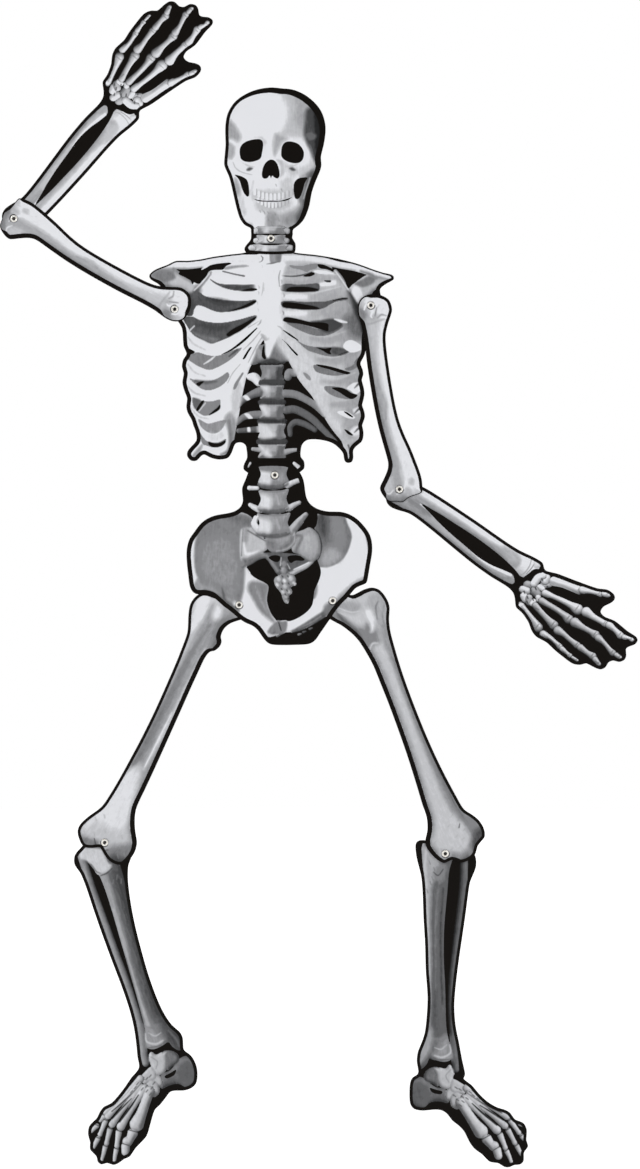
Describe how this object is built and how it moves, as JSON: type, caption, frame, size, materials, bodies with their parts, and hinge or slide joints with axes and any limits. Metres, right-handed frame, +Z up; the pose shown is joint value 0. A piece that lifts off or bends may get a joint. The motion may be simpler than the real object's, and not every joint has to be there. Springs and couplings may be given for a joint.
{
  "type": "jointed card skeleton figure",
  "caption": "Flat jointed skeleton figure for Halloween: die-cut printed cards joined by metal eyelets, so the head, waist, arms and legs can be posed on a wall, door or window.",
  "frame": {"origin": "on the back face of the torso card, on the figure's middle line, level with the ninth rib", "axes": "+Z up through the head, +X to the viewer's right, and the printed fronts face -Y, so +Y points at the wall"},
  "size_m": [0.803, 0.0072, 1.4691],
  "materials": {
    "printed_card": "satin",
    "eyelet_metal": "satin"
  },
  "bodies": {
    "torso": {"torso_card": "printed_card", "neck_eyelet": "eyelet_metal", "waist_eyelet": "eyelet_metal", "right_shoulder_eyelet": "eyelet_metal", "left_shoulder_eyelet": "eyelet_metal"},
    "head": {"skull_card": "printed_card"},
    "pelvis": {"pelvis_card": "printed_card", "right_hip_eyelet": "eyelet_metal", "left_hip_eyelet": "eyelet_metal"},
    "right_upper_arm": {"right_upper_arm_card": "printed_card", "right_elbow_eyelet": "eyelet_metal"},
    "right_forearm": {"right_forearm_card": "printed_card"},
    "right_thigh": {"right_thigh_card": "printed_card", "right_knee_eyelet": "eyelet_metal"},
    "right_shin": {"right_shin_card": "printed_card"},
    "left_upper_arm": {"left_upper_arm_card": "printed_card", "left_elbow_eyelet": "eyelet_metal"},
    "left_forearm": {"left_forearm_card": "printed_card"},
    "left_thigh": {"left_thigh_card": "printed_card", "left_knee_eyelet": "eyelet_metal"},
    "left_shin": {"left_shin_card": "printed_card"}
  },
  "joints": [
    {"name": "neck", "type": "hinge", "parent": "torso", "child": "head", "pos_m": [-0.0013, 0, 0.1785], "axis": [0, -1, 0], "range_deg": [-80, 80]},
    {"name": "waist", "type": "hinge", "parent": "torso", "child": "pelvis", "pos_m": [0.0035, 0, -0.1197], "axis": [0, -1, 0], "range_deg": [-45, 45]},
    {"name": "right_shoulder", "type": "hinge", "parent": "torso", "child": "right_upper_arm", "pos_m": [-0.1225, 0, 0.089], "axis": [0, -1, 0], "range_deg": [-60, 125]},
    {"name": "left_shoulder", "type": "hinge", "parent": "torso", "child": "left_upper_arm", "pos_m": [0.1245, 0, 0.0939], "axis": [0, -1, 0], "range_deg": [-15, 170]},
    {"name": "right_elbow", "type": "hinge", "parent": "right_upper_arm", "child": "right_forearm", "pos_m": [-0.32488, 0, 0.20304], "axis": [0, -1, 0], "range_deg": [-43, 245]},
    {"name": "left_elbow", "type": "hinge", "parent": "left_upper_arm", "child": "left_forearm", "pos_m": [0.16043, 0, -0.13766], "axis": [0, -1, 0], "range_deg": [-189, 100]},
    {"name": "right_hip", "type": "hinge", "parent": "pelvis", "child": "right_thigh", "pos_m": [-0.0414, 0, -0.2833], "axis": [0, -1, 0], "range_deg": [-60, 29]},
    {"name": "left_hip", "type": "hinge", "parent": "pelvis", "child": "left_thigh", "pos_m": [0.0764, 0, -0.278], "axis": [0, -1, 0], "range_deg": [-24, 66]},
    {"name": "right_knee", "type": "hinge", "parent": "right_thigh", "child": "right_shin", "pos_m": [-0.21084, 0, -0.58279], "axis": [0, -1, 0], "range_deg": [-175, 85]},
    {"name": "left_knee", "type": "hinge", "parent": "left_thigh", "child": "left_shin", "pos_m": [0.21831, 0, -0.59674], "axis": [0, -1, 0], "range_deg": [-104, 155]}
  ]
}
